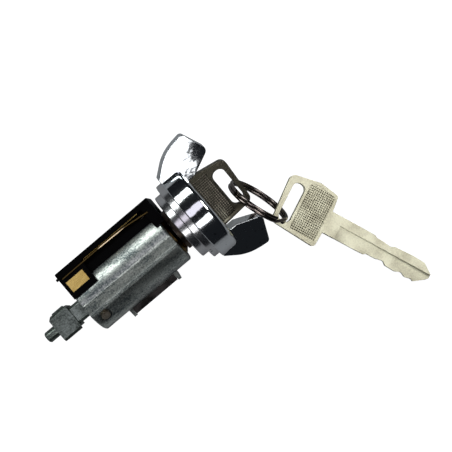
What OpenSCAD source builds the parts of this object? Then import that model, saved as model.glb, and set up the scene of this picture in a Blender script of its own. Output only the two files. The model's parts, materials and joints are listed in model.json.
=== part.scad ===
// Steering column ignition lock: zinc sleeve, turning plug with five pin stacks, chrome two-eared knob,
// key warning switch in a black housing, tail driver, a key in the lock and a spare key on a split ring.
// The lock lies as it comes to rest: the knob's barrel and the sleeve's flat rear foot are on the floor.
// In the lock frame X runs along the lock's axis towards the keys, with zero at the sleeve's front face.

/* [Sleeve] */
// Outer diameter of the zinc sleeve
sleeve_d = 20.2; // [19.6:0.2:20.8]
// Length of the sleeve
sleeve_len = 35.2; // [33:0.2:38]
// How far the flat foot reaches behind the sleeve's rear face
foot_reach = 0.6; // [0.4:0.1:1.2]
// Width of the flat foot
foot_w = 11; // [8:0.2:12]
// Distance from the axis to the outer face of the pin ridge
ridge_top = 13; // [12.6:0.1:13.6]
// Width of the pin ridge
ridge_w = 4.8; // [4.4:0.1:5.4]

/* [Plug] */
// Diameter of the turning plug
plug_d = 12.4; // [12.2:0.1:12.6]
// Radial running clearance between parts that turn or slide
run_fit = 0.05; // [0.03:0.01:0.08]
// Turn of the key about the lock's axis, as it lies
lock_roll = 24; // [16:1:30]

/* [Knob] */
// Diameter of the knob's barrel
barrel_d = 32; // [31:0.5:34]
// Length of the knob's barrel
barrel_len = 7.2; // [6.6:0.2:8.4]
// Distance from the sleeve's front face to the rear of the bezel ring
bezel_gap = 3.3; // [3.1:0.1:4]
// Length of the bezel ring
bezel_len = 4.9; // [4.4:0.1:5.4]
// Diameter of the bezel ring's small step
bezel_small_d = 24; // [23.4:0.2:25]
// Diameter of the bezel ring's large step
bezel_large_d = 29; // [28.4:0.2:30]
// Distance from the axis to the tips of the ears
ear_reach = 24.4; // [23:0.2:26]
// Thickness of the ears
ear_t = 3.4; // [3:0.1:4]
// How far the ears stand out in front of the barrel
ear_rise = 11; // [10:0.2:12]
// Width of the bevel round the ears
ear_bevel = 1.8; // [1:0.1:2.2]

/* [Keys] */
// Thickness of a key
key_t = 2; // [1.8:0.1:2.2]
// Width of the blade
blade_w = 7.8; // [7.4:0.1:7.9]
// Length of the bow
bow_len = 18.2; // [17.8:0.1:18.6]
// Width of the bow at its widest
bow_w = 20.4; // [19.4:0.2:20.8]
// Width of the bow at its end
bow_end_w = 17.4; // [17:0.2:18.4]
// Width of the bar between the bow's slot and its end
bow_bar = 2.2; // [2:0.1:2.4]
// Width of the bow's slot
slot_w = 4.4; // [4.2:0.1:4.8]
// Length of the bow's slot
slot_len = 14; // [13.4:0.2:14.4]
// Outer diameter of the split ring
ring_d = 22.4; // [22:0.1:23]
// Thickness of the ring's wire
ring_wire = 1.2; // [1:0.05:1.3]

/* [Switch housing] */
// Distance from the axis to the housing's outer wall
housing_reach = 13.4; // [13:0.1:14.4]
// Distance from the axis to the housing's open top
housing_top = 9.9; // [9.6:0.1:10.8]
// How far the housing stands out in front of the sleeve
housing_nose = 1.8; // [1.4:0.1:2.2]
// Thickness of the brass contact leaf
leaf_t = 0.4; // [0.3:0.05:0.45]

/* [Tail] */
// Width of the tail's neck
neck_w = 6.2; // [5.8:0.1:6.6]
// Length of the neck behind the sleeve
neck_len = 4.9; // [4.4:0.1:6]
// Width of the drive block
block_w = 9.2; // [8.8:0.1:10]
// Length of the drive block
block_len = 7.1; // [6.6:0.1:8]
// Diameter of the round stub
stub_d = 3.8; // [3.6:0.1:4.4]
// Length of the stub
stub_len = 4.6; // [4:0.1:5]

/* [Hidden] */
$fn = 64;

// Overrun of every cut
over = 0.5;
// Gap between fixed pieces that lie face to face round a curve
seat_gap = 0.02;
// Gap between pieces that are laid in a pocket
lay_gap = 0.1;

// Sleeve
sleeve_r = sleeve_d / 2;
plug_r = plug_d / 2;
bore_r = plug_r + run_fit;
sleeve_edge = 0.4;
foot_len = 5;
foot_depth = 2.4;
groove_from = 90;
groove_to = 113;
groove_depth = 0.9;

// Pin ridge, in step with the sleeve's length
ridge_front = sleeve_len * 0.187;
ridge_len = sleeve_len * 0.56;
ridge_rear = ridge_front + ridge_len;
ridge_tab = ridge_len * 0.06;
ridge_recess = 1.2;
row_angle = 180 + lock_roll;

// Pin stacks, counted from the front
stack_count = 5;
stack_mid = (ridge_front + ridge_rear) / 2;
pin_pitch = (ridge_len - 2 * ridge_tab) / stack_count;
pin_d = pin_pitch * 0.75;
chamber_d = pin_d + 2 * run_fit;
key_pin_in = blade_w / 2 + lay_gap;
key_pin_out = sqrt(pow(plug_r, 2) - pow(pin_d / 2, 2)) - run_fit;
pin_tip = 0.8;
driver_in = bore_r + run_fit;
driver_len = 3;
cover_t = 0.5;
cover_skirt = ridge_top - ridge_recess - sleeve_r;
cover_in = ridge_top - ridge_recess;
spring_wire = 0.36;

// Bezel ring and knob
barrel_r = barrel_d / 2;
barrel_rear = bezel_gap + bezel_len;
barrel_front = barrel_rear + barrel_len;
barrel_edge = 1.3;
barrel_rear_edge = 0.5;
bezel_t = 0.8;
bezel_step = bezel_gap + bezel_len * 0.53;
bezel_in_r = plug_r + 2.2;
bow_slot_w = bow_w * 1.05 + 2 * lay_gap;
bow_slot_t = key_t + 9 * lay_gap;
ear_tip_x = barrel_front + ear_rise;
ear_root_r = bow_slot_w / 2 + lay_gap;
ear_edge_t = 1.1;
ear_round = 1.5;

// Plug
socket_depth = 1.7;
plug_front = barrel_rear + socket_depth;
plug_tail_gap = 4;
plug_rear = sleeve_len - plug_tail_gap;
plug_shoulder = 2.2;
plug_step = plug_rear - plug_shoulder;
plug_tail_wall = 1.6;
plug_tail_r = plug_r - plug_tail_wall;
plug_tail_len = 2.8;
plug_tail_end = plug_rear + plug_tail_len;
keyway_w = blade_w + 4 * lay_gap;
keyway_t = key_t + 3 * lay_gap;
tang_slot_w = 2.3;
tang_slot_depth = 2.2;
feeler_x = -3.4;
feeler_angle = 30;
feeler_d = 2.4;
feeler_groove_w = 3.2;
feeler_groove_depth = 1.2;
feeler_dip = 0.8;
detent_x = -stack_mid - pin_pitch;
detent_r = 1.1;
detent_notch = 0.3;
detent_places = [-32, 0, 35, 70, 95];
knob_pin_d = 1.5;
knob_pin_off = plug_r - knob_pin_d;
knob_pin_len = bezel_small_d * 0.75;
knob_pin_x = bezel_step + knob_pin_d * 0.6;
knob_pin_bore = bezel_large_d;

// Retaining pin near the sleeve's rear
retain_back = 3.8;
retain_x = retain_back - sleeve_len;
retain_angle = 129;
retain_d = 2.9;
retain_mouth_d = 4.2;
retain_mouth_depth = 1;
retain_foot_d = 3.9;
retain_foot_t = 0.5;
retain_cup = 0.35;
retain_seat = bore_r + retain_cup;
retain_travel = 0.9;
retain_floor = plug_tail_r + run_fit + 4 * lay_gap;
retain_proud = 0.4;
retain_roof = 0.8;
retain_hollow_d = 2;

// Rear clip and tail
clip_t = 0.5;
clip_gap = 1.1;
clip_in_r = neck_w / 2 + clip_gap;
neck_edge = 0.8;
block_h_share = 0.84;
block_edge = 1.4;
rib_w = 4.2;
rib_out = 1.0;
rib_in = 0.9;
stub_edge = 0.4;
notch_w = 1.4;

// Front washer and collar
washer_t = 0.45;
collar_wall = 1.1;
washer_out_r = bore_r + collar_wall + 4 * lay_gap;
collar_r = bore_r + collar_wall;
collar_len = bezel_gap * 0.45;

// Housing, measured in the lock frame, its channel in step with how far it stands out
housing_back = 0.2;
housing_from = -(sleeve_len + housing_back);
housing_room = housing_reach - sleeve_r;
housing_bottom = sleeve_r - lay_gap;
leg_reach = 3.4;
nose_reach = 4.4;
lower_reach = 6.5;
window_from = -sleeve_len * 0.74;
window_to = -1.7;
window_len = window_to - window_from;
inner_wall_in = 6.7;
inner_wall_top = 7.9;
channel_in = sleeve_r - housing_room * 0.24;
channel_out = housing_reach - housing_room * 0.55;
channel_floor = 4.6;
housing_edge = 0.7;
terminal_from = housing_from + 1.1;
terminal_len = sleeve_len * 0.19;
terminal_in = leg_reach + 2;
terminal_w = channel_in - terminal_in;
terminal_t = 0.4;
terminal_sink = 0.35;
terminal_top = housing_top - terminal_sink;
terminal_tab = 1.6;
nib_d = 0.9;
leaf_low = channel_floor + lay_gap;
leaf_high = housing_top - 1;
leaf_room = channel_out - channel_in - leaf_t - 4 * lay_gap;
leaf_rest = channel_in + leaf_t / 2 + 2 * lay_gap;
strip_t = 0.15;
strip_h = 3;
leaf_slot = leaf_t + 3 * lay_gap;

// Keys
blade_end_gap = 0.9;
blade_len = plug_front + plug_rear - blade_end_gap;
key_len = bow_len + blade_len;
bow_corner = 2.2;
bow_end_slant = 1;
field_sink = 0.15;
field_border = 1.2;
slot_border = 0.9;
mill_w_share = 0.6;
mill_depth = 0.45;
mill_from = 4.6;
// Cuts along the blade as shares of its length, and their depths as shares of its width
low_cut_at_shares = [0.38, 0.415, 0.49, 0.56, 0.61, 0.69, 0.75, 0.80, 0.85];
low_cut_deep_shares = [0.01, 0.09, 0.095, 0.155, 0.025, 0.01, 0.095, 0.01, 0.05];
high_cut_at_shares = [0.40, 0.44, 0.49, 0.565, 0.615, 0.79];
high_cut_deep_shares = [0.01, 0.08, 0.09, 0.13, 0.045, 0.01];
cut_flat_share = 0.02;
tip_len = 4.6;
tip_w = 2.8;

// Split ring: two turns of wire side by side, with their ends left open
ring_r = ring_d / 2 - ring_wire / 2;
ring_pitch = ring_wire * 0.97;
ring_end_gap = 0.5;

// How the ring and the spare key lie, chosen by hand
ring_heading = -73.1;
ring_lean = 68.1;
ring_in_lock_key = 217;
ring_in_spare_key = 24;
lock_key_cross_shares = [0.41, -0.206];
spare_key_cross_shares = [0.412, -0.34];
spare_heading = -67.5;
spare_pitch = 5.9;

// The lock tips back until the sleeve's foot meets the floor that the knob's barrel stands on
lay_tilt = atan2(barrel_r - sleeve_r, barrel_rear + sleeve_len + foot_reach);

// Directions in the resting frame
axis_dir = [cos(lay_tilt), 0, sin(lay_tilt)];
ear_dir = [-sin(lay_tilt) * sin(lock_roll), cos(lock_roll), cos(lay_tilt) * sin(lock_roll)];
ring_side = [cos(ring_heading), sin(ring_heading), 0];
ring_down = [-sin(ring_heading) * cos(ring_lean), cos(ring_heading) * cos(ring_lean), -sin(ring_lean)];
spare_dir = [cos(spare_heading) * cos(spare_pitch), sin(spare_heading) * cos(spare_pitch), -sin(spare_pitch)];
spare_side = [-sin(spare_heading), cos(spare_heading), 0];

// Where the ring crosses the two bows, and its own centre
bow_end_x = plug_front + lay_gap + bow_len;
function on_ring(turn) = ring_r * (cos(turn) * ring_side + sin(turn) * ring_down);
lock_cross = (bow_end_x - bow_bar - slot_w * lock_key_cross_shares[0]) * axis_dir
    + slot_len * lock_key_cross_shares[1] * ear_dir;
ring_centre = lock_cross - on_ring(ring_in_lock_key);
spare_cross = ring_centre + on_ring(ring_in_spare_key);
spare_end = spare_cross - (bow_bar + slot_w * spare_key_cross_shares[0]) * spare_dir
    - slot_len * spare_key_cross_shares[1] * spare_side;

// Plane geometry
function unit(v) = v / norm(v);
function polar(r, a) = [r * cos(a), r * sin(a)];
function short_way(a) = a > 180 ? a - 360 : a < -180 ? a + 360 : a;
function corner(before, at, after, r, steps) =
    let (a = unit(before - at), b = unit(after - at), half = acos(a * b) / 2)
    let (centre = at + unit(a + b) * r / sin(half))
    let (from = at + a * r / tan(half) - centre, to = at + b * r / tan(half) - centre)
    let (start = atan2(from[1], from[0]), sweep = short_way(atan2(to[1], to[0]) - start))
    [for (i = [0 : steps]) centre + polar(r, start + sweep * i / steps)];
function rounded(points, radii, steps = 5) = [
    for (i = [0 : len(points) - 1])
        let (n = len(points), at = points[i])
        each radii[i] > 0
            ? corner(points[(i + n - 1) % n], at, points[(i + 1) % n], radii[i], steps)
            : [at]];

// Frames
module lay() rotate([0, -lay_tilt, 0]) children();
module turned() lay() rotate([lock_roll, 0, 0]) children();
module spin_x() rotate([0, 90, 0]) rotate_extrude() children();
module run_x(from, to) translate([from, 0, 0]) rotate([90, 0, 90]) linear_extrude(to - from) children();
module radial(x, angle) translate([x, 0, 0]) rotate([angle - 90, 0, 0]) children();
module rod_x(from, to, r) translate([from, 0, 0]) rotate([0, 90, 0]) cylinder(h = to - from, r = r);
module rod_out(from, to, r) translate([0, 0, from]) cylinder(h = to - from, r = r);
function stack_x(i) = -stack_mid + (2 - i) * pin_pitch;

// A compression spring along Z, swept as one closed tube of five sides
module coil(from, to, r, turns) {
    sides = 5;
    rings = turns * 10;
    rise = (to - from - spring_wire) / rings;
    points = [for (i = [0 : rings], j = [0 : sides - 1])
        let (a = 36 * i, b = 360 * j / sides, out = r - spring_wire / 2 + spring_wire / 2 * cos(b))
        [out * cos(a), out * sin(a), from + spring_wire / 2 + rise * i + spring_wire / 2 * sin(b)]];
    walls = [for (i = [0 : rings - 1], j = [0 : sides - 1])
        let (k = (j + 1) % sides)
        [i * sides + j, i * sides + k, (i + 1) * sides + k, (i + 1) * sides + j]];
    first_end = [for (j = [sides - 1 : -1 : 0]) j];
    last_end = [for (j = [0 : sides - 1]) rings * sides + j];
    polyhedron(points, concat(walls, [first_end], [last_end]));
}

// Zinc sleeve with its pin ridge, foot and bores
module sleeve_outside() {
    spin_x() polygon([[0, -sleeve_len], [sleeve_r - sleeve_edge, -sleeve_len],
        [sleeve_r, sleeve_edge - sleeve_len], [sleeve_r, -sleeve_edge], [sleeve_r - sleeve_edge, 0], [0, 0]]);
    translate([-sleeve_len - foot_reach, -foot_w / 2, -sleeve_r])
        cube([foot_len + foot_reach, foot_w, foot_depth]);
    rotate([row_angle, 0, 0]) difference() {
        translate([-ridge_rear, bore_r + over, -ridge_w / 2])
            cube([ridge_len, ridge_top - bore_r - over, ridge_w]);
        translate([-ridge_rear + ridge_tab, cover_in, -ridge_w / 2 - over])
            cube([ridge_len - 2 * ridge_tab, ridge_recess + over, ridge_w + 2 * over]);
    }
}

module sleeve_groove() {
    run_x(-sleeve_len - over, over) polygon([polar(sleeve_r, groove_from),
        polar(sleeve_r - groove_depth, groove_to), polar(sleeve_r + over, groove_to),
        polar(sleeve_r + over, groove_from)]);
}

module sleeve() {
    color("silver") lay() difference() {
        sleeve_outside();
        rod_x(-sleeve_len - foot_reach - over, over, bore_r);
        sleeve_groove();
        for (i = [0 : stack_count - 1])
            radial(stack_x(i), row_angle) rod_out(0, cover_in + ridge_recess / 2, chamber_d / 2);
        radial(retain_x, retain_angle) {
            rod_out(0, sleeve_r + over, retain_d / 2 + run_fit);
            rod_out(0, retain_seat, retain_foot_d / 2 + run_fit);
            rod_out(sleeve_r - retain_mouth_depth, sleeve_r + over, retain_mouth_d / 2);
        }
        radial(feeler_x, feeler_angle) rod_out(0, sleeve_r + over, feeler_d / 2 + run_fit);
        radial(detent_x, 0) rod_out(0, sleeve_r + over, detent_r + run_fit);
    }
}

// Turning plug, with the keyway, the pin bores and the grooves of the detent and the feeler
module plug() {
    color("darkgray") turned() difference() {
        union() {
            rod_x(-plug_step, plug_front, plug_r);
            rod_x(-plug_tail_end, -plug_step, plug_tail_r);
        }
        translate([-plug_rear + over, -keyway_w / 2, -keyway_t / 2])
            cube([plug_rear + plug_front, keyway_w, keyway_t]);
        for (i = [0 : stack_count - 1])
            radial(stack_x(i), 180) rod_out(0, plug_r + over, chamber_d / 2);
        difference() {
            rod_x(feeler_x - feeler_groove_w / 2, feeler_x + feeler_groove_w / 2, plug_r + over);
            rod_x(feeler_x - feeler_groove_w / 2 - over, feeler_x + feeler_groove_w / 2 + over,
                plug_r - feeler_groove_depth);
        }
        for (a = detent_places)
            rotate([a - lock_roll, 0, 0]) translate([0, plug_r + detent_r - detent_notch, 0])
                rod_x(detent_x - detent_r, detent_x + detent_r, detent_r);
        translate([-plug_tail_end - over, -plug_r, -tang_slot_w / 2])
            cube([tang_slot_depth + over, 2 * plug_r, tang_slot_w]);
        for (s = [-1, 1])
            translate([knob_pin_x, 0, s * knob_pin_off]) rotate([90, 0, 0])
                translate([0, 0, -knob_pin_bore / 2])
                    cylinder(h = knob_pin_bore, r = knob_pin_d / 2 + seat_gap);
    }
}

// Chrome knob: a turned barrel with two bevelled paddle ears
function ear_at(rise, reach) = [barrel_rear + (ear_tip_x - barrel_rear) * rise, ear_reach * reach];
ear_points = [
    [barrel_rear, ear_root_r], ear_at(0, 0.70), ear_at(0.30, 0.905), ear_at(0.55, 0.97), ear_at(0.80, 1),
    ear_at(1, 0.6),
    [barrel_front + ear_rise * 0.23, ear_root_r + lay_gap], [barrel_front - ear_round, ear_root_r]];
ear_rounds = [0, 4, 6, 6, 1, 1, 1, 0] * ear_round;

module ear_outline(inset) {
    offset(delta = -inset) polygon(rounded(ear_points, ear_rounds, 4));
}

module ear() {
    hull() {
        translate([0, 0, -ear_edge_t / 2]) linear_extrude(ear_edge_t) ear_outline(0);
        translate([0, 0, -ear_t / 2]) linear_extrude(ear_t) ear_outline(ear_bevel);
    }
}

module knob() {
    edge = [for (i = [0 : 4]) let (a = 90 - 90 * i / 4)
        [barrel_r - barrel_edge * (1 - sin(a)), barrel_front - barrel_edge * (1 - cos(a))]];
    profile = concat([[0, bezel_gap + bezel_t + lay_gap],
        [bezel_small_d / 2 - bezel_t - lay_gap, bezel_gap + bezel_t + lay_gap],
        [bezel_small_d / 2 - bezel_t - lay_gap, bezel_step + bezel_t + lay_gap],
        [bezel_large_d / 2 - bezel_t - lay_gap, bezel_step + bezel_t + lay_gap],
        [bezel_large_d / 2 - bezel_t - lay_gap, barrel_rear],
        [barrel_r - barrel_rear_edge, barrel_rear], [barrel_r, barrel_rear + barrel_rear_edge]],
        edge, [[0, barrel_front]]);
    color("gainsboro") turned() difference() {
        union() {
            spin_x() polygon(profile);
            ear();
            mirror([0, 1, 0]) ear();
        }
        rod_x(0, plug_front, plug_r + seat_gap);
        translate([plug_front, -bow_slot_w / 2, -bow_slot_t / 2])
            cube([ear_tip_x, bow_slot_w, bow_slot_t]);
        for (s = [-1, 1])
            translate([knob_pin_x, 0, s * knob_pin_off]) rotate([90, 0, 0])
                translate([0, 0, -knob_pin_bore / 2])
                    cylinder(h = knob_pin_bore, r = knob_pin_d / 2 + seat_gap);
    }
}

// Pressed ring with two steps behind the barrel
module bezel_ring() {
    small = bezel_small_d / 2;
    large = bezel_large_d / 2;
    rear = barrel_rear - seat_gap;
    color("gainsboro") turned() spin_x() polygon([
        [bezel_in_r, bezel_gap], [small, bezel_gap], [small, bezel_step], [large, bezel_step], [large, rear],
        [large - bezel_t, rear], [large - bezel_t, bezel_step + bezel_t],
        [small - bezel_t, bezel_step + bezel_t],
        [small - bezel_t, bezel_gap + bezel_t], [bezel_in_r, bezel_gap + bezel_t]]);
}

// Two pins that cross the plug beside the keyway and hold the knob
module knob_pins() {
    color("dimgray") turned() for (s = [-1, 1])
        translate([knob_pin_x, 0, s * knob_pin_off]) rotate([90, 0, 0])
            translate([0, 0, -knob_pin_len / 2 + lay_gap])
                cylinder(h = knob_pin_len - 2 * lay_gap, r = knob_pin_d / 2);
}

// Dished brass washer between the sleeve and the knob
module thrust_washer() {
    rise = bezel_gap - collar_len - washer_t - 3 * lay_gap;
    color("peru") lay() spin_x() polygon([
        [washer_out_r, lay_gap], [washer_out_r, lay_gap + washer_t],
        [bore_r + lay_gap, lay_gap + washer_t + rise], [bore_r + lay_gap, lay_gap + rise]]);
}

// Zinc collar on the plug's neck
module front_collar() {
    color("gray") lay() difference() {
        rod_x(bezel_gap - collar_len - lay_gap, bezel_gap - lay_gap, collar_r);
        rod_x(0, bezel_gap, bore_r);
    }
}

// Tail driver: tang, journal, neck, drive block with a rounded rib, and stub
module tail_driver() {
    journal_to = -(sleeve_len - clip_t - seat_gap);
    neck_to = -(sleeve_len + neck_len);
    block_to = neck_to - block_len;
    block_h = block_w * block_h_share;
    color("slategray") lay() difference() {
        union() {
            rotate([lock_roll, 0, 0])
                translate([-plug_tail_end - over, -plug_tail_r + over, -tang_slot_w / 2 + lay_gap])
                    cube([tang_slot_depth + over - lay_gap, 2 * plug_tail_r - 2 * over,
                        tang_slot_w - 2 * lay_gap]);
            rod_x(journal_to, -plug_tail_end, plug_tail_r);
            run_x(neck_to, journal_to) square_edged(neck_w, neck_w, neck_edge);
            difference() {
                run_x(block_to, neck_to) square_edged(block_w, block_h, neck_edge);
                for (s = [0, 1])
                    translate([s == 0 ? neck_to : block_to, block_w / 2, 0]) rotate([0, 0, 45])
                        cube([block_edge, block_edge, 2 * block_w], center = true);
            }
            translate([0, block_w / 2 - rib_in, 0]) intersection() {
                rod_x(block_to + block_edge, neck_to - block_edge, rib_in + rib_out - over);
                translate([block_to, 0, -rib_w / 2]) cube([block_len, rib_in + rib_out, rib_w]);
            }
            spin_x() polygon([[0, block_to - stub_len], [stub_d / 2 - stub_edge, block_to - stub_len],
                [stub_d / 2, block_to - stub_len + stub_edge], [stub_d / 2, block_to + over],
                [0, block_to + over]]);
        }
        translate([neck_to - notch_w, -block_w / 2 - over, -block_h / 2 - over])
            cube([notch_w + over, over + neck_edge, block_h + 2 * over]);
    }
}

module square_edged(w, h, e) {
    polygon([[w / 2 - e, h / 2], [w / 2, h / 2 - e], [w / 2, e - h / 2], [w / 2 - e, -h / 2],
        [e - w / 2, -h / 2], [-w / 2, e - h / 2], [-w / 2, h / 2 - e], [e - w / 2, h / 2]]);
}

// Bearing that carries the plug's tail and seats the retaining spring
module rear_bearing() {
    color("darkgoldenrod") lay() difference() {
        rod_x(-sleeve_len + clip_t + seat_gap, -plug_step - lay_gap, plug_r);
        rod_x(-sleeve_len, 0, plug_tail_r + run_fit);
        radial(retain_x, retain_angle) rod_out(retain_floor, sleeve_r, retain_foot_d / 2 + run_fit);
    }
}

// Clip that closes the sleeve behind the bearing
module rear_clip() {
    color("dimgray") lay() difference() {
        rod_x(-sleeve_len, -sleeve_len + clip_t, plug_r);
        rod_x(-sleeve_len - over, 0, clip_in_r);
    }
}

// Sprung retaining pin, hollow for its spring
module retaining_pin() {
    color("rosybrown") lay() radial(retain_x, retain_angle) difference() {
        union() {
            rod_out(retain_seat - retain_foot_t, sleeve_r + retain_proud - run_fit, retain_d / 2);
            rod_out(retain_seat - retain_foot_t - run_fit, retain_seat - run_fit, retain_foot_d / 2);
        }
        rod_out(0, sleeve_r + retain_proud - retain_roof, retain_hollow_d / 2);
    }
}

module retaining_spring() {
    color("dimgray") lay() radial(retain_x, retain_angle)
        coil(retain_floor + run_fit, sleeve_r + retain_proud - retain_roof - retain_travel - lay_gap,
            retain_hollow_d / 2 - lay_gap, 4);
}

// Dark channel that closes the pin chambers
module chamber_cover() {
    outside = ridge_w / 2 + cover_t + seat_gap;
    inside = ridge_w / 2 + seat_gap;
    from = ridge_front + ridge_tab + lay_gap;
    to = ridge_rear - ridge_tab - lay_gap;
    color([0.16, 0.15, 0.15]) lay() rotate([row_angle, 0, 0]) run_x(-to, -from) polygon([
        [cover_in + seat_gap, -inside], [cover_in + seat_gap, inside], [cover_in - cover_skirt, inside],
        [cover_in - cover_skirt, outside], [cover_in + cover_t, outside], [cover_in + cover_t, -outside],
        [cover_in - cover_skirt, -outside], [cover_in - cover_skirt, -inside]]);
}

// One pin stack: key pin in the plug, driver and spring in the sleeve
module key_pin(i) {
    color("goldenrod") lay() radial(stack_x(i), row_angle) rotate_extrude() polygon([
        [0, key_pin_in], [pin_d / 4, key_pin_in], [pin_d / 2, key_pin_in + pin_tip], [pin_d / 2, key_pin_out],
        [0, key_pin_out]]);
}

module driver_pin(i) {
    color("khaki") lay() radial(stack_x(i), row_angle) rod_out(driver_in, driver_in + driver_len, pin_d / 2);
}

module pin_spring(i) {
    color("lightgray") lay() radial(stack_x(i), row_angle)
        coil(driver_in + driver_len + seat_gap, cover_in - seat_gap, pin_d / 2, 4);
}

// Detent ball and its spring, closed in by the switch housing
detent_end = sleeve_r + housing_room * 0.4;

module detent_ball() {
    color("silver") lay() radial(detent_x, 0) translate([0, 0, bore_r + run_fit + detent_r])
        sphere(r = detent_r, $fn = 24);
}

module detent_spring() {
    color("lightgray") lay() radial(detent_x, 0)
        coil(bore_r + 2 * run_fit + 2 * detent_r, detent_end - seat_gap, detent_r - run_fit, 3);
}

// Contact leaf, standing on edge: its bends in plan
leaf_plan = [
    [housing_from + 2 * terminal_t, leaf_rest + leaf_room * 0.75],
    [window_from + window_len * 0.22, leaf_rest + leaf_room * 0.85],
    [window_from + window_len * 0.7, leaf_rest + leaf_room * 0.7],
    [window_to + housing_nose * 0.6, leaf_rest]];

module leaf_path(w) {
    last = len(leaf_plan) - 1;
    polygon(concat([for (i = [0 : last]) leaf_plan[i] + [0, w / 2]],
        [for (i = [last : -1 : 0]) leaf_plan[i] - [0, w / 2]]));
}

function leaf_y(x) =
    let (a = leaf_plan[2], b = leaf_plan[3]) a[1] + (b[1] - a[1]) * (x - a[0]) / (b[0] - a[0]);

module contact_leaf() {
    color("gold") lay() translate([0, 0, leaf_low]) linear_extrude(leaf_high - leaf_low) leaf_path(leaf_t);
}

// Fixed brass strip against the outer wall
module contact_strip() {
    color("gold") lay() translate([window_from + over, channel_out - strip_t - seat_gap, leaf_low])
        cube([window_len * 0.9, strip_t, strip_h]);
}

// Terminal plate at the housing's rear end, with its edge turned down
module terminal_shape(gap) {
    translate([terminal_from - gap, terminal_in - gap, terminal_top - terminal_t - gap])
        cube([terminal_len + 2 * gap, terminal_w + 2 * gap, terminal_t + 2 * gap]);
    translate([terminal_from - gap, channel_in - terminal_t - gap, terminal_top - terminal_tab - gap])
        cube([terminal_len + 2 * gap, terminal_t + 2 * gap, terminal_tab + 2 * gap]);
}

module terminal_plate() {
    color("gold") lay() terminal_shape(0);
}

// Black switch housing: a tray along the sleeve with hooked ends and an open window
module housing_end(from, to, reach) {
    out = housing_reach;
    top = housing_top;
    low = -housing_bottom;
    e = housing_edge;
    run_x(from, to) polygon([[reach, top], [out - e, top], [out, top - e], [out, low + e], [out - e, low],
        [lower_reach, low], [lower_reach, 0], [reach, 0]]);
}

module switch_housing() {
    color([0.07, 0.07, 0.08]) lay() difference() {
        union() {
            housing_end(housing_from, window_from + over, leg_reach);
            housing_end(window_from, window_to, inner_wall_in);
            housing_end(window_to - over, housing_nose, nose_reach);
            translate([0, channel_out, housing_top - 2 * nib_d])
                rod_x(housing_from - nib_d, housing_from + over, nib_d / 2);
        }
        rod_x(housing_from - over, housing_nose + over, sleeve_r + run_fit);
        translate([window_from, channel_in, channel_floor])
            cube([window_len, channel_out - channel_in, housing_top]);
        translate([window_from, 0, inner_wall_top]) cube([window_len, channel_out, housing_top]);
        translate([0, 0, channel_floor]) linear_extrude(housing_top) leaf_path(leaf_slot);
        terminal_shape(seat_gap);
        translate([terminal_from, terminal_in, terminal_top]) cube([terminal_len, terminal_w, housing_top]);
        radial(feeler_x, feeler_angle) rod_out(0, sleeve_r + housing_room, feeler_d / 2 + run_fit);
        radial(detent_x, 0) rod_out(0, detent_end, detent_r + run_fit);
    }
}

// Feeler that the plug's groove lets in and the contact leaf pushes back
module key_feeler() {
    from = plug_r - feeler_groove_depth + feeler_dip + lay_gap;
    tip = feeler_d / 4;
    side = (feeler_d / 2 - tip) * sin(feeler_angle);
    to = (leaf_y(feeler_x) - leaf_t / 2 - lay_gap - side) / cos(feeler_angle);
    color("ivory") lay() radial(feeler_x, feeler_angle) rotate_extrude() polygon([
        [0, from], [feeler_d / 2, from], [feeler_d / 2, to - tip], [feeler_d / 2 - tip, to], [0, to]]);
}

// Key from the end of its bow along X, cut on both edges
function cut_edge(side, at_shares, deep_shares) = [
    for (i = [0 : len(at_shares) - 1])
        let (x = bow_len + blade_len * at_shares[i], y = side * blade_w * (1 / 2 - deep_shares[i]))
        each [[x, y], [x + blade_len * cut_flat_share, y]]];

module blade_outline() {
    half = blade_w / 2;
    low = cut_edge(-1, low_cut_at_shares, low_cut_deep_shares);
    high = cut_edge(1, high_cut_at_shares, high_cut_deep_shares);
    polygon(concat([[bow_len / 2, -half], [bow_len + blade_len / 3, -half]], low,
        [[key_len - tip_len, -half], [key_len - tip_len / 5, -tip_w / 2], [key_len, -tip_w / 6],
        [key_len, tip_w / 3], [key_len - tip_len * 0.8, half * 0.92]],
        [for (i = [len(high) - 1 : -1 : 0]) high[i]],
        [[bow_len + blade_len / 3, half], [bow_len / 2, half]]));
}

module bow_outline() {
    points = [[bow_end_slant, -bow_end_w * 0.49], [bow_len * 0.98, -bow_w * 0.475], [bow_len, -blade_w * 0.6],
        [bow_len, blade_w * 0.6], [bow_len * 0.97, bow_w * 0.46], [bow_len * 0.57, bow_w * 0.515],
        [0, bow_end_w * 0.49]];
    polygon(rounded(points, [bow_corner, bow_corner / 2, 0, 0, bow_corner / 2, bow_corner, bow_corner]));
}

module bow_slot() {
    r = slot_w * 0.46;
    polygon(rounded([[bow_bar, -slot_len / 2], [bow_bar + slot_w, -slot_len / 2],
        [bow_bar + slot_w, slot_len / 2], [bow_bar, slot_len / 2]], [r, r, r, r], 7));
}

// Sunk field between the slot and the blade, within a plain border
module bow_field() {
    from = bow_bar + slot_w + slot_border;
    to = bow_len - field_border;
    polygon(rounded([[from, field_border - bow_w * 0.44], [to, field_border - bow_w * 0.475],
        [to, bow_w * 0.465 - field_border], [bow_len * 0.57, bow_w * 0.515 - field_border],
        [from, bow_w * 0.488 - field_border]], [1, 1, 1, 1, 1] * slot_border));
}

module key_blank() {
    difference() {
        translate([0, 0, -key_t / 2]) linear_extrude(key_t) difference() {
            union() {
                bow_outline();
                blade_outline();
            }
            bow_slot();
        }
        for (s = [0, 1]) mirror([0, 0, s]) {
            translate([0, 0, key_t / 2 - field_sink]) linear_extrude(key_t) bow_field();
            translate([bow_len + mill_from, -blade_w / 2 - over, key_t / 2 - mill_depth])
                cube([key_len, blade_w * mill_w_share + over, key_t]);
        }
    }
}

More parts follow.
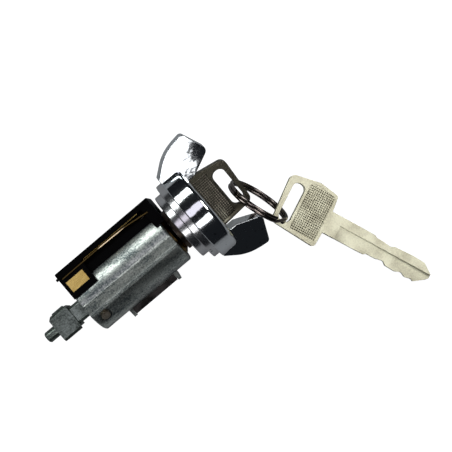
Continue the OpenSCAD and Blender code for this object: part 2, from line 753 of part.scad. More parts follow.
module lock_key() {
    color([0.46, 0.44, 0.37]) turned() translate([bow_end_x, 0, 0]) rotate([180, 0, 180]) key_blank();
}

module spare_key() {
    color([0.80, 0.77, 0.66]) translate(spare_end) rotate([0, 0, spare_heading]) rotate([0, spare_pitch, 0])
        key_blank();
}

// Split ring of two turns, each with an open end
module key_ring() {
    color([0.24, 0.22, 0.21]) translate(ring_centre) rotate([0, 0, ring_heading]) rotate([-ring_lean, 0, 0])
        difference() {
            rotate_extrude($fn = 72) for (s = [-1, 1])
                translate([ring_r, s * ring_pitch / 2]) circle(d = ring_wire, $fn = 14);
            for (s = [-1, 1])
                rotate([0, 0, 90 - 60 * s]) translate([ring_r, 0, s * ring_pitch])
                    cube([2 * ring_wire, ring_end_gap, 1.9 * ring_pitch], center = true);
        }
}

sleeve();
plug();
knob();
bezel_ring();
knob_pins();
thrust_washer();
front_collar();
tail_driver();
rear_bearing();
rear_clip();
retaining_pin();
retaining_spring();
chamber_cover();
key_pin(0);  // key_pin_1
key_pin(1);  // key_pin_2
key_pin(2);  // key_pin_3
key_pin(3);  // key_pin_4
key_pin(4);  // key_pin_5
driver_pin(0);  // driver_pin_1
driver_pin(1);  // driver_pin_2
driver_pin(2);  // driver_pin_3
driver_pin(3);  // driver_pin_4
driver_pin(4);  // driver_pin_5
pin_spring(0);  // pin_spring_1
pin_spring(1);  // pin_spring_2
pin_spring(2);  // pin_spring_3
pin_spring(3);  // pin_spring_4
pin_spring(4);  // pin_spring_5
detent_ball();
detent_spring();
switch_housing();
contact_leaf();
contact_strip();
terminal_plate();
key_feeler();
lock_key();
key_ring();
spare_key();
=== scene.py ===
"""A steering column ignition lock lying on a pale table, seen from straight above."""

import json
import math

import bmesh
import bpy
from mathutils import Matrix, Vector


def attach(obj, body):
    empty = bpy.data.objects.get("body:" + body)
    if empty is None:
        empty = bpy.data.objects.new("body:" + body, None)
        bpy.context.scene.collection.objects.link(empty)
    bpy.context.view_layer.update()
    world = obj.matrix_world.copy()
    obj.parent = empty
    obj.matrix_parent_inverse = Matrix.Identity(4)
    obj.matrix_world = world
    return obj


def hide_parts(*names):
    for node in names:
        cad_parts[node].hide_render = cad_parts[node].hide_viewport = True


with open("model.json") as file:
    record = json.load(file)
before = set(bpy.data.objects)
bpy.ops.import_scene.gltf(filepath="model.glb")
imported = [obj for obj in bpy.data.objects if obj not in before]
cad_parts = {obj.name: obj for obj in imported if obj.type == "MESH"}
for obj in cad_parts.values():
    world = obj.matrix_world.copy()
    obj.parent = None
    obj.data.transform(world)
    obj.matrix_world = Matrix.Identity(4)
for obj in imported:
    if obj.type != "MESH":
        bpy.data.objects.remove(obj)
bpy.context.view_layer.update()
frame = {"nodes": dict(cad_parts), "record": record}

# Lengths are in metres
MM = 0.001

# How the lock lies: tipped back on its knob, with its key plane turned about its own axis
SLEEVE_RADIUS = 10.1 * MM
BARREL_RADIUS = 16.0 * MM
BARREL_REAR = 8.2 * MM
FOOT_BACK = 35.8 * MM
LAY_TILT = math.atan2(BARREL_RADIUS - SLEEVE_RADIUS, BARREL_REAR + FOOT_BACK)
LOCK_ROLL = math.radians(24)
LAY = Matrix.Rotation(-LAY_TILT, 4, "Y")
TURNED = LAY @ Matrix.Rotation(LOCK_ROLL, 4, "X")
FLOOR_Z = -BARREL_RADIUS * math.cos(LAY_TILT) + BARREL_REAR * math.sin(LAY_TILT)

# Bezel ring with its two steps, and the knob's fit inside it
BEZEL_REAR = 3.3 * MM
BEZEL_STEP = 5.9 * MM
BEZEL_HOLE = 8.4 * MM
BEZEL_SMALL = 12.0 * MM
BEZEL_LARGE = 14.5 * MM
BEZEL_WALL = 0.8 * MM
BEZEL_SOFT = 0.35 * MM
BEZEL_OFF_BARREL = 0.02 * MM
KNOB_FIT = 0.1 * MM

# Knob's barrel, and the slot in its front for the bow
BARREL_FRONT = 15.4 * MM
BARREL_HOLE = 4.0 * MM
BARREL_REAR_EDGE = 0.5 * MM
BARREL_FRONT_EDGE = 1.9 * MM
BOW_SLOT_HALF = 10.81 * MM
BOW_SLOT_THICKNESS = 2.9 * MM
PLUG_FRONT = 9.9 * MM

# Knob's ears: every corner's place along and out from the axis, and its rounding, in millimetres
EAR_CORNERS = (
    (8.2, 10.95, 0),
    (8.2, 17.1, 0),
    (13.66, 21.7, 2.6),
    (18.2, 23.15, 1.8),
    (22.8, 23.78, 1.0),
    (26.4, 14.6, 1.7),
    (17.9, 11.0, 0),
)

# Rims of the ears: how wide they are broken, and how much of a flat face's normal points across the ear
EAR_RIM = 0.25 * MM
EAR_FLAT_NORMAL = 0.9

# The ears grow thicker from the tip to the root, and one face of each is thinned towards the front
EAR_TIP_OUT = 24 * MM
EAR_ROOT_OUT = 15 * MM
EAR_TIP_HALF = 1.65 * MM
EAR_ROOT_HALF = 2.35 * MM
EAR_THINNING = 0.8 * MM
EAR_THINNING_FROM = 18.5 * MM
EAR_THINNING_TO = 26.5 * MM
EAR_THINNING_LIMIT = 1.2

# Places of the cuts that let the ears' faces bend, in millimetres
EAR_CUTS_ALONG = range(16, 25, 2)
EAR_CUTS_OUT = (*range(-22, -13, 2), *range(14, 23, 2))

# Keys: the end of the bow, the sunk field beside its slot, and how the spare key lies
BOW_END_X = 28.2 * MM
KEY_THICKNESS = 2.0 * MM
FIELD_FROM = 7.5 * MM
FIELD_TO = 17.0 * MM
FIELD_LOW = -7.85 * MM
FIELD_HIGH = 8.7 * MM
KNURL_PITCH = 0.75 * MM
KNURL_DEPTH = 0.2 * MM
SPARE_HEADING = math.radians(-67.5)
SPARE_PITCH = math.radians(5.9)

# Split ring, the crossing between its turns, and where the spare key hangs on it
RING_RADIUS = 10.6 * MM
RING_WIRE = 1.2 * MM
RING_WIRE_SHARE = 0.97
RING_PITCH = 1.16 * MM
RING_HEADING = math.radians(-73.1)
RING_LEAN = math.radians(68.1)
RING_CROSSING = math.radians(-32)
RING_CROSSING_HALF = math.radians(13)
SPARE_IN_RING = math.radians(24)
SPARE_CROSS_IN = 4.01 * MM
SPARE_CROSS_ASIDE = -4.76 * MM

# Width of the broken edges of the solids that are finished as they are, in millimetres
BROKEN_EDGES = {
    "sleeve": 0.15,
    "switch_housing": 0.15,
    "tail_driver": 0.2,
    "lock_key": 0.14,
    "spare_key": 0.12,
    "terminal_plate": 0.08,
}
LEAF_EDGE = 0.06 * MM

# Steps of the round shapes, and the bends from which an edge looks sharp
SPIN_STEPS = 128
EDGE_ROUND_STEPS = 3
BARREL_ROUND_STEPS = 6
EAR_ROUND_STEPS = 6
BROKEN_EDGE_STEPS = 2
WIRE_SIDES = 14
RING_TURN_STEPS = 66
RING_CROSSING_STEPS = 8
SHARP_EDGE = math.radians(32)
SHARP_ON_KNOB = math.radians(35)
SHARP_ON_WIRE = math.radians(50)

# Small angles and distances for finding, joining and cutting faces
FLAT_WITHIN = math.radians(1)
NEAR = 0.01 * MM
MERGE = 0.001 * MM
SOLID_MERGE = 0.002 * MM
SLOT_CUT = 0.0001 * MM

# Table, room and lamps
TABLE_HALF = 3.0
TABLE_DROP = 0.05 * MM
TABLE_GLOW = 0.95
ROOM_COLOUR = (0.75, 0.85, 1)
ROOM_GLOW = 0.012
LAMP_DISTANCE = 0.7
LAMP_WIDTH = 0.2

# Camera, nearly square to the lock's axis
CAMERA_DISTANCE = 324 * MM
CAMERA_ALONG = 15.06 * MM
CAMERA_ASIDE = -9.36 * MM
CAMERA_AIM = LAY @ Vector((CAMERA_ALONG, 0, 0)) + Vector((0, CAMERA_ASIDE, 0))
CAMERA_LEAN = LAY_TILT - math.radians(0.8)
CAMERA_TURN = math.radians(40.2)
IMAGE_WIDTH = 452
FOCAL_PIXELS = 1015
SENSOR_WIDTH = 36

# Worn metal: shares of its pattern where the dark tone ends and the light one begins, and how rough each is
WEAR_DARK_TO = 0.38
WEAR_LIGHT_FROM = 0.6
DARK_ROUGHER = 1.35
LIGHT_SMOOTHER = 0.8
GRAIN_SCALE = 1900.0
BUMPS_FINER = 5
METAL_BUMP = 0.1 * MM

# Plating and plastic: the dull spots, and the height of the waves and of the grain
DULL_SPOT = (0.25, 0.26, 0.27)
PLATING_WAVE = 0.15 * MM
PLASTIC_GRAIN = 0.05 * MM


def plain_finish(name, colour, metallic, roughness):
    """A new finish of one colour, and its shader."""
    material = bpy.data.materials.new(name)
    material.use_nodes = True
    shader = material.node_tree.nodes["Principled BSDF"]
    shader.inputs["Base Color"].default_value = (*colour, 1)
    shader.inputs["Metallic"].default_value = metallic
    shader.inputs["Roughness"].default_value = roughness
    return material, shader


def mottling(material, scale, detail=3.0, stretch=(1, 1, 1)):
    """A mottled pattern in the piece's own coordinates."""
    nodes = material.node_tree.nodes
    links = material.node_tree.links
    place = nodes.new("ShaderNodeTexCoord")
    mapping = nodes.new("ShaderNodeMapping")
    mapping.inputs["Scale"].default_value = stretch
    pattern = nodes.new("ShaderNodeTexNoise")
    pattern.inputs["Scale"].default_value = scale
    pattern.inputs["Detail"].default_value = detail
    links.new(place.outputs["Object"], mapping.inputs["Vector"])
    links.new(mapping.outputs["Vector"], pattern.inputs["Vector"])
    return pattern.outputs["Fac"]


def tones(material, pattern, stops):
    """The tones that a pattern runs through; stops are (share of the pattern, colour)."""
    node = material.node_tree.nodes.new("ShaderNodeValToRGB")
    while len(node.color_ramp.elements) < len(stops):
        node.color_ramp.elements.new(0.5)
    for element, (share, colour) in zip(node.color_ramp.elements, stops):
        element.position = share
        element.color = (*colour, 1)
    material.node_tree.links.new(pattern, node.inputs["Fac"])
    return node.outputs["Color"]


def rescale(material, pattern, low, high, pattern_low=0.3, pattern_high=0.7):
    """A pattern made to run from a low to a high value."""
    node = material.node_tree.nodes.new("ShaderNodeMapRange")
    node.inputs["From Min"].default_value = pattern_low
    node.inputs["From Max"].default_value = pattern_high
    node.inputs["To Min"].default_value = low
    node.inputs["To Max"].default_value = high
    material.node_tree.links.new(pattern, node.inputs["Value"])
    return node.outputs["Result"]


def roughen(material, shader, pattern, strength, height):
    """Fine bumps that follow a pattern."""
    node = material.node_tree.nodes.new("ShaderNodeBump")
    node.inputs["Strength"].default_value = strength
    node.inputs["Distance"].default_value = height
    material.node_tree.links.new(pattern, node.inputs["Height"])
    material.node_tree.links.new(node.outputs["Normal"], shader.inputs["Normal"])


def worn_metal(name, dark, light, roughness, scale=180.0, bumps=0.15, stretch=(1, 1, 1), grain=0.0):
    """A worn metal that changes between two tones, rougher where it is dark, with some fine grain."""
    material, shader = plain_finish(name, light, 1.0, roughness)
    links = material.node_tree.links
    wear = mottling(material, scale, 5.0, stretch)
    if grain:
        mix = material.node_tree.nodes.new("ShaderNodeMix")
        mix.inputs["Factor"].default_value = grain
        links.new(wear, mix.inputs["A"])
        links.new(mottling(material, GRAIN_SCALE, 2.0), mix.inputs["B"])
        wear = mix.outputs["Result"]
    tone = tones(material, wear, [(WEAR_DARK_TO, dark), (WEAR_LIGHT_FROM, light)])
    links.new(tone, shader.inputs["Base Color"])
    dullness = rescale(material, wear, roughness * DARK_ROUGHER, roughness * LIGHT_SMOOTHER)
    links.new(dullness, shader.inputs["Roughness"])
    roughen(material, shader, mottling(material, scale * BUMPS_FINER), bumps, METAL_BUMP)
    return material


def plated_metal(name, colour, roughness):
    """Plated metal whose reflections waver a little, with a few dull spots."""
    material, shader = plain_finish(name, colour, 1.0, roughness)
    spots = tones(material, mottling(material, 700.0, 4.0), [(0.3, DULL_SPOT), (0.36, colour)])
    material.node_tree.links.new(spots, shader.inputs["Base Color"])
    roughen(material, shader, mottling(material, 260.0, 2.0), 0.5, PLATING_WAVE)
    return material


def brass_with_painted_light():
    """The contact leaf's brass, with a painted highlight along the middle of its length and painted shade
    towards both ends.
    """
    material, shader = plain_finish("leaf_brass", (0.5, 0.36, 0.14), 1.0, 0.25)
    nodes = material.node_tree.nodes
    links = material.node_tree.links
    corners = [corner[0] for corner in frame["nodes"]["contact_leaf"].bound_box]
    axes = nodes.new("ShaderNodeSeparateXYZ")
    links.new(nodes.new("ShaderNodeTexCoord").outputs["Object"], axes.inputs["Vector"])
    along = rescale(material, axes.outputs["X"], 0, 1, min(corners), max(corners))
    # Painted shade towards both ends of the leaf, and a painted highlight along the middle of its length.
    painted_shade_tone = (0.08, 0.055, 0.018)
    painted_highlight_tone = (1, 0.82, 0.5)
    painted_light_band = tones(material, along, [(0.42, painted_shade_tone), (0.46, painted_highlight_tone), (0.66, painted_highlight_tone), (0.74, painted_shade_tone)])
    links.new(painted_light_band, shader.inputs["Base Color"])
    return material


def moulded_plastic(name, colour, roughness=0.45, shine=0.3):
    """Moulded plastic with a fine grain."""
    material, shader = plain_finish(name, colour, 0.0, roughness)
    shader.inputs["Specular IOR Level"].default_value = shine
    roughen(material, shader, mottling(material, 1500.0), 0.15, PLASTIC_GRAIN)
    return material


def make_finishes():
    """The finish of every material slot, and four finishes for single pieces."""
    return {
        "zinc": worn_metal(
            "worn_zinc", (0.12, 0.145, 0.15), (0.68, 0.72, 0.68), 0.33,
            scale=260.0, bumps=0.5, stretch=(0.4, 1, 1), grain=0.42),
        "plug_zinc": worn_metal("plug_zinc", (0.3, 0.3, 0.29), (0.5, 0.5, 0.48), 0.35),
        "collar_zinc": worn_metal(
            "aged_zinc", (0.006, 0.005, 0.004), (0.09, 0.07, 0.055), 0.4, scale=240.0),
        "tail_zinc": worn_metal(
            "tail_zinc", (0.07, 0.085, 0.075), (0.28, 0.325, 0.295), 0.3,
            scale=240.0, bumps=0.4, grain=0.4),
        "chrome": plated_metal("chrome", (0.82, 0.85, 0.88), 0.09),
        "dull_chrome": plated_metal("dull_chrome", (0.74, 0.74, 0.76), 0.2),
        "steel": worn_metal("plain_steel", (0.25, 0.25, 0.25), (0.5, 0.5, 0.5), 0.3),
        "dark_steel": worn_metal("blackened_steel", (0.02, 0.018, 0.018), (0.09, 0.08, 0.08), 0.4),
        "ring_steel": worn_metal(
            "worn_wire", (0.12, 0.105, 0.1), (0.17, 0.145, 0.135), 0.2, scale=60.0, bumps=0.0),
        "brass": worn_metal(
            "bright_brass", (0.46, 0.31, 0.07), (0.72, 0.54, 0.18), 0.26,
            scale=260.0, bumps=0.1, stretch=(0.2, 1, 1)),
        "leaf_brass": brass_with_painted_light(),
        "copper_washer": worn_metal(
            "red_brass", (0.012, 0.006, 0.003), (0.42, 0.27, 0.08), 0.3, scale=210.0),
        "bronze": worn_metal("dull_bronze", (0.36, 0.29, 0.2), (0.95, 0.85, 0.7), 0.34, scale=500.0),
        "key_nickel": worn_metal(
            "dark_nickel", (0.09, 0.082, 0.06), (0.25, 0.23, 0.175), 0.26, scale=160.0, bumps=0.3),
        # A darker copy of the lock key's nickel for its knurl: painted shade in the valleys between the
        # pyramids.
        "lock_knurl_painted_shade": worn_metal(
            "lock_knurl_painted_shade", (0.03, 0.028, 0.02), (0.3, 0.28, 0.21), 0.22, scale=160.0, bumps=0.3),
        "spare_nickel": worn_metal(
            "warm_nickel", (0.72, 0.69, 0.52), (0.97, 0.95, 0.73), 0.42, scale=160.0, grain=0.3),
        # A darker copy of the spare key's nickel for its knurl: painted shade in the valleys between the
        # pyramids.
        "spare_knurl_painted_shade": worn_metal(
            "spare_knurl_painted_shade", (0.17, 0.155, 0.108), (0.44, 0.415, 0.3), 0.3, scale=160.0, grain=0.3),
        "black_plastic": moulded_plastic("black_plastic", (0.001, 0.001, 0.0012), 0.4, 0.03),
        "feeler_plastic": moulded_plastic("ivory_plastic", (0.75, 0.7, 0.6)),
    }


def dress_solids(finishes):
    """Gives every solid its slot's finish."""
    for name, solid in frame["nodes"].items():
        solid.data.materials.clear()
        solid.data.materials.append(finishes[node_slots[name]])


def place_piece(form, name, node, finish):
    """Turns a form into a piece that moves with a solid and has its slot."""
    mesh = bpy.data.meshes.new(name)
    form.to_mesh(mesh)
    form.free()
    mesh.materials.append(finish)
    piece = bpy.data.objects.new(name, mesh)
    bpy.context.collection.objects.link(piece)
    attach(piece, node_bodies[node])
    return piece


def replace_solid(form, name, node, finish, sharp=SHARP_EDGE):
    """Turns a form into a piece that stands for a solid, smooth between its sharp edges."""
    piece = place_piece(form, name, node, finish)
    piece.data.shade_smooth()
    piece.data.set_sharp_from_angle(angle=sharp)
    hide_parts(node)
    return piece


def refine_solid(node, width, finish):
    """A solid's own shape, its flat faces whole again and its edges broken."""
    form = bmesh.new()
    form.from_mesh(frame["nodes"][node].data)
    bmesh.ops.remove_doubles(form, verts=form.verts, dist=SOLID_MERGE)
    bmesh.ops.dissolve_limit(form, angle_limit=FLAT_WITHIN, verts=form.verts, edges=form.edges)
    piece = replace_solid(form, node + "_finished", node, finish)
    bevel = piece.modifiers.new("broken_edges", "BEVEL")
    bevel.width = width
    bevel.segments = BROKEN_EDGE_STEPS
    bevel.limit_method = "ANGLE"
    bevel.angle_limit = SHARP_EDGE
    bevel.harden_normals = True


def spin_profile(form, profile):
    """Spins points (along the axis, out from it) about the X axis."""
    points = [form.verts.new((x, r, 0)) for x, r in profile]
    edges = [form.edges.new(pair) for pair in zip(points, points[1:])]
    bmesh.ops.spin(
        form, geom=points + edges, cent=(0, 0, 0), axis=(1, 0, 0),
        angle=2 * math.pi, steps=SPIN_STEPS, use_merge=True, use_duplicate=False)
    bmesh.ops.remove_doubles(form, verts=form.verts, dist=MERGE)
    bmesh.ops.recalc_face_normals(form, faces=form.faces)


def quarter_round(x, r, radius, start, steps):
    """Points of a quarter circle about (x, r) from a start angle, turning back by a right angle."""
    turns = [math.radians(start - 90 * i / steps) for i in range(steps + 1)]
    return [(x + radius * math.cos(turn), r + radius * math.sin(turn)) for turn in turns]


def barrel_front_faces(form):
    """The faces in the plane of the barrel's front."""
    return [face for face in form.faces if face.calc_center_median().x > BARREL_FRONT - NEAR]


def cut_bow_slot(form):
    """Sinks the slot for the bow into the barrel's front."""
    for across, half in ((Vector((0, 1, 0)), BOW_SLOT_HALF), (Vector((0, 0, 1)), BOW_SLOT_THICKNESS / 2)):
        for side in (-1, 1):
            front = barrel_front_faces(form)
            geom = front + list({edge for face in front for edge in face.edges})
            geom += list({vert for face in front for vert in face.verts})
            bmesh.ops.bisect_plane(
                form, geom=geom, dist=SLOT_CUT, plane_co=across * side * half, plane_no=across)
    inside = [
        face for face in barrel_front_faces(form)
        if abs(face.calc_center_median().y) < BOW_SLOT_HALF
        and abs(face.calc_center_median().z) < BOW_SLOT_THICKNESS / 2
    ]
    grown = bmesh.ops.extrude_face_region(form, geom=inside)
    floor = [item for item in grown["geom"] if isinstance(item, bmesh.types.BMVert)]
    bmesh.ops.translate(form, vec=(PLUG_FRONT - BARREL_FRONT, 0, 0), verts=floor)
    bmesh.ops.delete(form, geom=inside, context="FACES")


def add_ear(form, side):
    """One paddle ear: a plate with rounded corners and softly broken rims."""
    corners = [form.verts.new((x * MM, side * r * MM, -EAR_TIP_HALF)) for x, r, _ in EAR_CORNERS]
    form.faces.new(corners)
    for corner, (_, _, rounding) in zip(corners, EAR_CORNERS):
        if rounding:
            bmesh.ops.bevel(
                form, geom=[corner], offset=rounding * MM, offset_type="OFFSET", affect="VERTICES",
                segments=EAR_ROUND_STEPS, profile=0.5, material=-1)
    base = [face for face in form.faces if face.calc_center_median().y * side > 0]
    grown = bmesh.ops.extrude_face_region(form, geom=base)
    raised = [item for item in grown["geom"] if isinstance(item, bmesh.types.BMVert)]
    bmesh.ops.translate(form, vec=(0, 0, 2 * EAR_TIP_HALF), verts=raised)
    form.normal_update()
    rims = [
        edge for edge in form.edges
        if edge.verts[0].co.y * side > 0 and len(edge.link_faces) == 2
        and abs(edge.link_faces[0].normal.z) + abs(edge.link_faces[1].normal.z) > EAR_FLAT_NORMAL
        and abs(edge.verts[0].co.z - edge.verts[1].co.z) < EAR_TIP_HALF
    ]
    bmesh.ops.bevel(
        form, geom=rims, offset=EAR_RIM, offset_type="OFFSET", affect="EDGES",
        segments=EDGE_ROUND_STEPS, profile=0.5, material=-1, clamp_overlap=True)


def shape_ears(form):
    """Thickens the ears towards the barrel, and thins one face of each at its inner front corner."""
    for across, places in ((Vector((1, 0, 0)), EAR_CUTS_ALONG), (Vector((0, 1, 0)), EAR_CUTS_OUT)):
        for place in places:
            geom = form.verts[:] + form.edges[:] + form.faces[:]
            bmesh.ops.bisect_plane(
                form, geom=geom, dist=MERGE, plane_co=across * place * MM, plane_no=across)
    for vert in form.verts:
        inward = (EAR_TIP_OUT - abs(vert.co.y)) / (EAR_TIP_OUT - EAR_ROOT_OUT)
        half = EAR_TIP_HALF + (EAR_ROOT_HALF - EAR_TIP_HALF) * inward
        if vert.co.y * vert.co.z > 0:
            forward = (vert.co.x - EAR_THINNING_FROM) / (EAR_THINNING_TO - EAR_THINNING_FROM)
            thinned = min(max(forward, 0), 1) * min(max(inward, 0), EAR_THINNING_LIMIT)
            half -= EAR_THINNING * thinned ** 2
        vert.co.z *= half / EAR_TIP_HALF


def make_knob(finish):
    """The chrome knob: a turned barrel with its slot, and two ears."""
    form = bmesh.new()
    inside = BEZEL_WALL + KNOB_FIT
    rear_edge = BARREL_REAR_EDGE
    front_edge = BARREL_FRONT_EDGE
    profile = [
        (BEZEL_REAR + inside, BARREL_HOLE),
        (BEZEL_REAR + inside, BEZEL_SMALL - inside),
        (BEZEL_STEP + inside, BEZEL_SMALL - inside),
        (BEZEL_STEP + inside, BEZEL_LARGE - inside),
        (BARREL_REAR, BEZEL_LARGE - inside),
    ]
    profile += quarter_round(
        BARREL_REAR + rear_edge, BARREL_RADIUS - rear_edge, rear_edge, 180, EDGE_ROUND_STEPS)
    profile += quarter_round(
        BARREL_FRONT - front_edge, BARREL_RADIUS - front_edge, front_edge, 90, BARREL_ROUND_STEPS)
    profile += [(BARREL_FRONT, 0)]
    spin_profile(form, profile)
    cut_bow_slot(form)
    ears = bmesh.new()
    for side in (-1, 1):
        add_ear(ears, side)
    shape_ears(ears)
    bmesh.ops.recalc_face_normals(ears, faces=ears.faces)
    mesh = bpy.data.meshes.new("ear_forms")
    ears.to_mesh(mesh)
    ears.free()
    form.from_mesh(mesh)
    bpy.data.meshes.remove(mesh)
    bmesh.ops.transform(form, matrix=TURNED, verts=form.verts)
    knob = replace_solid(form, "knob_finished", "knob", finish, SHARP_ON_KNOB)
    flat_faces = knob.modifiers.new("flat_faces", "WEIGHTED_NORMAL")
    flat_faces.keep_sharp = True


def make_bezel_ring(finish):
    """The pressed ring with two rounded steps."""
    form = bmesh.new()
    soft = BEZEL_SOFT
    wall = BEZEL_WALL
    front = BARREL_REAR - BEZEL_OFF_BARREL
    profile = [(BEZEL_REAR + wall, BEZEL_HOLE), (BEZEL_REAR, BEZEL_HOLE)]
    profile += quarter_round(BEZEL_REAR + soft, BEZEL_SMALL - soft, soft, 180, EDGE_ROUND_STEPS)
    profile += [(BEZEL_STEP, BEZEL_SMALL)]
    profile += quarter_round(BEZEL_STEP + soft, BEZEL_LARGE - soft, soft, 180, EDGE_ROUND_STEPS)
    profile += [
        (front, BEZEL_LARGE),
        (front, BEZEL_LARGE - wall),
        (BEZEL_STEP + wall, BEZEL_LARGE - wall),
        (BEZEL_STEP + wall, BEZEL_SMALL - wall),
        (BEZEL_REAR + wall, BEZEL_SMALL - wall),
        (BEZEL_REAR + wall, BEZEL_HOLE),
    ]
    spin_profile(form, profile)
    bmesh.ops.transform(form, matrix=TURNED, verts=form.verts)
    replace_solid(form, "bezel_ring_finished", "bezel_ring", finish, SHARP_ON_KNOB)


def make_split_ring(finish):
    """Two flat turns of round wire with two cut ends, and a short crossing between them."""
    form = bmesh.new()
    start = Matrix.Rotation(RING_CROSSING + RING_CROSSING_HALF, 4, "Z")
    start = start @ Matrix.Translation((RING_RADIUS, 0, -RING_PITCH / 2))
    start = start @ Matrix.Rotation(math.pi / 2, 4, "X")
    section = bmesh.ops.create_circle(
        form, cap_ends=False, radius=RING_WIRE / 2 * RING_WIRE_SHARE, segments=WIRE_SIDES, matrix=start)
    loop = section["verts"] + list({edge for vert in section["verts"] for edge in vert.link_edges})
    crossing = 2 * RING_CROSSING_HALF
    flat = 2 * math.pi - crossing
    for angle, rise, steps in (
        (flat, 0, RING_TURN_STEPS),
        (crossing, RING_PITCH, RING_CROSSING_STEPS),
        (flat, 0, RING_TURN_STEPS),
    ):
        spun = bmesh.ops.spin(
            form, geom=loop, cent=(0, 0, 0), axis=(0, 0, 1), dvec=(0, 0, rise / steps),
            angle=angle, steps=steps, use_merge=False, use_duplicate=False)
        loop = spun["geom_last"]
    ends = [edge for edge in form.edges if len(edge.link_faces) == 1]
    bmesh.ops.holes_fill(form, edges=ends, sides=0)
    bmesh.ops.recalc_face_normals(form, faces=form.faces)
    bmesh.ops.transform(form, matrix=ring_place, verts=form.verts)
    replace_solid(form, "split_ring_wound", "key_ring", finish, SHARP_ON_WIRE)


def make_knurl(node, place, finish):
    """Fine pyramids over the sunk field of a key's bow, on both of its faces."""
    form = bmesh.new()
    width = FIELD_TO - FIELD_FROM
    length = FIELD_HIGH - FIELD_LOW
    for side in (-1, 1):
        middle = Vector(((FIELD_FROM + FIELD_TO) / 2, (FIELD_LOW + FIELD_HIGH) / 2, 0))
        middle.z = side * (KEY_THICKNESS / 2 - KNURL_DEPTH)
        scale = Matrix.Diagonal((width / 2, length / 2, 1, 1))
        flip = Matrix.Rotation(0 if side > 0 else math.pi, 4, "X")
        bmesh.ops.create_grid(
            form, x_segments=round(width / KNURL_PITCH), y_segments=round(length / KNURL_PITCH), size=1,
            matrix=Matrix.Translation(middle) @ flip @ scale)
    bmesh.ops.recalc_face_normals(form, faces=form.faces)
    for face in form.faces:
        if face.normal.z * face.calc_center_median().z < 0:
            face.normal_flip()
    bmesh.ops.poke(form, faces=form.faces, offset=KNURL_DEPTH)
    bmesh.ops.transform(form, matrix=place, verts=form.verts)
    place_piece(form, node + "_knurl", node, finish)


def make_table():
    """The plain table, which glows for the camera alone and so comes out white under a faint shadow."""
    mesh = bpy.data.meshes.new("table_top")
    form = bmesh.new()
    bmesh.ops.create_grid(form, x_segments=1, y_segments=1, size=TABLE_HALF)
    bmesh.ops.translate(form, vec=(0, 0, FLOOR_Z - TABLE_DROP), verts=form.verts)
    form.to_mesh(mesh)
    form.free()
    table = bpy.data.objects.new("table_top", mesh)
    bpy.context.collection.objects.link(table)
    material, shader = plain_finish("pale_table", (0.3, 0.31, 0.32), 0.0, 0.9)
    nodes = material.node_tree.nodes
    links = material.node_tree.links
    path = nodes.new("ShaderNodeLightPath")
    glow = nodes.new("ShaderNodeEmission")
    glow.inputs["Strength"].default_value = TABLE_GLOW
    both = nodes.new("ShaderNodeAddShader")
    mix = nodes.new("ShaderNodeMixShader")
    links.new(shader.outputs["BSDF"], both.inputs[0])
    links.new(glow.outputs["Emission"], both.inputs[1])
    links.new(path.outputs["Is Camera Ray"], mix.inputs["Fac"])
    links.new(shader.outputs["BSDF"], mix.inputs[1])
    links.new(both.outputs["Shader"], mix.inputs[2])
    links.new(mix.outputs["Shader"], nodes["Material Output"].inputs["Surface"])
    mesh.materials.append(material)


def make_lamp(name, turn, lean, length, power, colour):
    """A lamp that runs along the lock, turned about the lock's axis and leaned along it."""
    data = bpy.data.lights.new(name, "AREA")
    data.shape = "RECTANGLE"
    data.size = LAMP_WIDTH
    data.size_y = length
    data.energy = power
    data.color = colour
    lamp = bpy.data.objects.new(name, data)
    place = Matrix.Rotation(-CAMERA_LEAN, 4, "Y") @ Matrix.Rotation(-math.radians(turn), 4, "X")
    place = place @ Matrix.Rotation(math.radians(lean), 4, "Y")
    face_down = Matrix.Translation((0, 0, LAMP_DISTANCE)) @ Matrix.Rotation(math.pi / 2, 4, "Z")
    lamp.matrix_world = place @ face_down
    bpy.context.collection.objects.link(lamp)


def make_light():
    """Long lamps in a dim room, which the chrome shows as bands, and a short one in front of the lock."""
    world = bpy.data.worlds.new("studio")
    world.use_nodes = True
    world.node_tree.nodes["Background"].inputs["Color"].default_value = (*ROOM_COLOUR, 1)
    world.node_tree.nodes["Background"].inputs["Strength"].default_value = ROOM_GLOW
    bpy.context.scene.world = world
    make_lamp("left_lamp", 48, 0, 0.8, 2.0, (0.96, 1, 0.98))
    make_lamp("middle_lamp", 7, 0, 0.8, 0.55, (0.95, 0.9, 1))
    make_lamp("right_lamp", -27, 0, 0.8, 1.1, (1, 1, 1))
    make_lamp("front_lamp", 0, 52, 0.24, 1.4, (1, 0.99, 0.96))


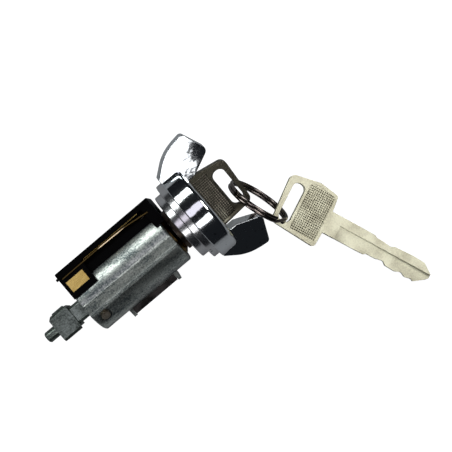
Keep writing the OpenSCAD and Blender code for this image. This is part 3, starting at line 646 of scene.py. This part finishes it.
def make_camera():
    """The camera above the lock."""
    data = bpy.data.cameras.new("camera")
    data.sensor_width = SENSOR_WIDTH
    data.lens = FOCAL_PIXELS / IMAGE_WIDTH * SENSOR_WIDTH
    camera = bpy.data.objects.new("camera", data)
    turn = Matrix.Rotation(-CAMERA_LEAN, 4, "Y") @ Matrix.Rotation(-CAMERA_TURN, 4, "Z")
    back = Matrix.Translation((0, 0, CAMERA_DISTANCE))
    camera.matrix_world = Matrix.Translation(CAMERA_AIM) @ turn @ back
    bpy.context.collection.objects.link(camera)
    bpy.context.scene.camera = camera


behaviour = frame["record"]["behaviour"]
node_slots = {part["node"]: part["material_slot"] for part in frame["record"]["subparts"]}
node_bodies = {node: body for body, members in behaviour["bodies"].items() for node in members}

# Places of the lock's key, of the ring on its joint, and of the spare key where the ring crosses its bow
lock_key_place = TURNED @ Matrix.Translation((BOW_END_X, 0, 0)) @ Matrix.Rotation(math.pi, 4, "Y")
ring_joint = next(joint for joint in behaviour["joints"] if joint["name"] == "spare_swing")
ring_place = Matrix.Translation(ring_joint["pos_m"]) @ Matrix.Rotation(RING_HEADING, 4, "Z")
ring_place = ring_place @ Matrix.Rotation(-RING_LEAN, 4, "X")
spare_cross = ring_place @ Matrix.Rotation(SPARE_IN_RING, 4, "Z") @ Vector((RING_RADIUS, 0, 0))
spare_place = Matrix.Translation(spare_cross) @ Matrix.Rotation(SPARE_HEADING, 4, "Z")
spare_place = spare_place @ Matrix.Rotation(SPARE_PITCH, 4, "Y")
spare_place = spare_place @ Matrix.Translation((-SPARE_CROSS_IN, -SPARE_CROSS_ASIDE, 0))

bpy.context.scene.view_settings.view_transform = "Standard"
finishes = make_finishes()
dress_solids(finishes)
make_knob(finishes["chrome"])
make_bezel_ring(finishes["dull_chrome"])
make_split_ring(finishes["ring_steel"])
for node, width in BROKEN_EDGES.items():
    refine_solid(node, width * MM, finishes[node_slots[node]])
refine_solid("contact_leaf", LEAF_EDGE, finishes["leaf_brass"])
make_knurl("lock_key", lock_key_place, finishes["lock_knurl_painted_shade"])
make_knurl("spare_key", spare_place, finishes["spare_knurl_painted_shade"])
make_table()
make_light()
make_camera()
